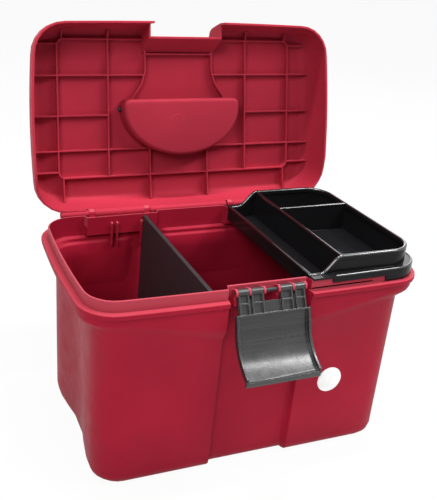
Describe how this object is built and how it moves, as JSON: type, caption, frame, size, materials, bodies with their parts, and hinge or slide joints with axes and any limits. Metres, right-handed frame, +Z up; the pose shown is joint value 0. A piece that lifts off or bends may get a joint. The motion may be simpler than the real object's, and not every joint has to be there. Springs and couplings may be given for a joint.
{
  "type": "grooming box",
  "caption": "Moulded plastic carrying box with a deep ribbed hinged lid, front latch, fold-down handle, lift-out tray and slot-in divider, shown standing open.",
  "frame": {"origin": "middle of the tub's base, on the ground", "axes": "+X to the right as seen from the front, +Y towards the hinge side, +Z up"},
  "size_m": [0.408, 0.366, 0.457],
  "materials": {
    "tub_red": "crimson moulded plastic with a soft sheen",
    "lid_red": "crimson moulded plastic with a soft sheen",
    "pin_steel": "drawn wire",
    "latch_black": "satin black moulded plastic",
    "handle_black": "satin black moulded plastic",
    "tray_black": "polished black moulded plastic",
    "divider_black": "satin black moulded plastic"
  },
  "bodies": {
    "tub": {"tub": "tub_red", "hinge_pin_left": "pin_steel", "hinge_pin_right": "pin_steel", "latch_pin": "latch_black"},
    "lid": {"lid": "lid_red"},
    "handle": {"handle": "handle_black"},
    "latch": {"latch": "latch_black"},
    "tray": {"tray": "tray_black"},
    "divider": {"divider": "divider_black"}
  },
  "joints": [
    {"name": "lid_hinge", "type": "hinge", "parent": "tub", "child": "lid", "pos_m": [0, 0.1195, 0.222], "axis": [1, 0, 0], "range_deg": [0, 102]},
    {"name": "latch_hinge", "type": "hinge", "parent": "tub", "child": "latch", "pos_m": [0, -0.1105, 0.2185], "axis": [-1, 0, 0], "range_deg": [0, 184]},
    {"name": "handle_pivot", "type": "hinge", "parent": "lid", "child": "handle", "pos_m": [0, 0.17633, 0.34027], "axis": [1, 0, 0], "range_deg": [-12, 90]},
    {"name": "tray_lift", "type": "slide", "parent": "tub", "child": "tray", "axis": [0, 0, 1], "range_m": [0, 0.2]},
    {"name": "divider_lift", "type": "slide", "parent": "tub", "child": "divider", "axis": [0, 0, 1], "range_m": [0, 0.33]}
  ]
}
